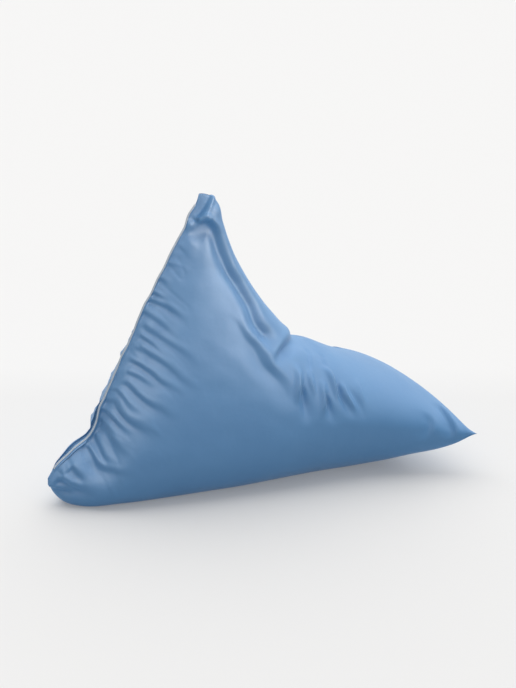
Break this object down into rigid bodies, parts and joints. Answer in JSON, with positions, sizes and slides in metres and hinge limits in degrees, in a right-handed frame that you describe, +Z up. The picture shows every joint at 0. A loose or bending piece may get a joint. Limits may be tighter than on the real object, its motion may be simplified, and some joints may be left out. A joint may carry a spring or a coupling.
{
  "type": "bean bag lounger",
  "caption": "Filled four-cornered floor lounger: a tall pointed backrest that folds at a waist into a long low seat, with gathered cloth along its back seam.",
  "frame": {"origin": "centre of the footprint, on the floor", "axes": "+X from the backrest towards the foot end, +Y across the seat, +Z up"},
  "size_m": [1.3234, 0.952, 0.9566],
  "materials": {
    "bag_cloth": "satin",
    "seam_tape": "matte"
  },
  "bodies": {
    "root": {"bag_body": "bag_cloth", "back_seam_tape": "seam_tape"}
  },
  "joints": []
}
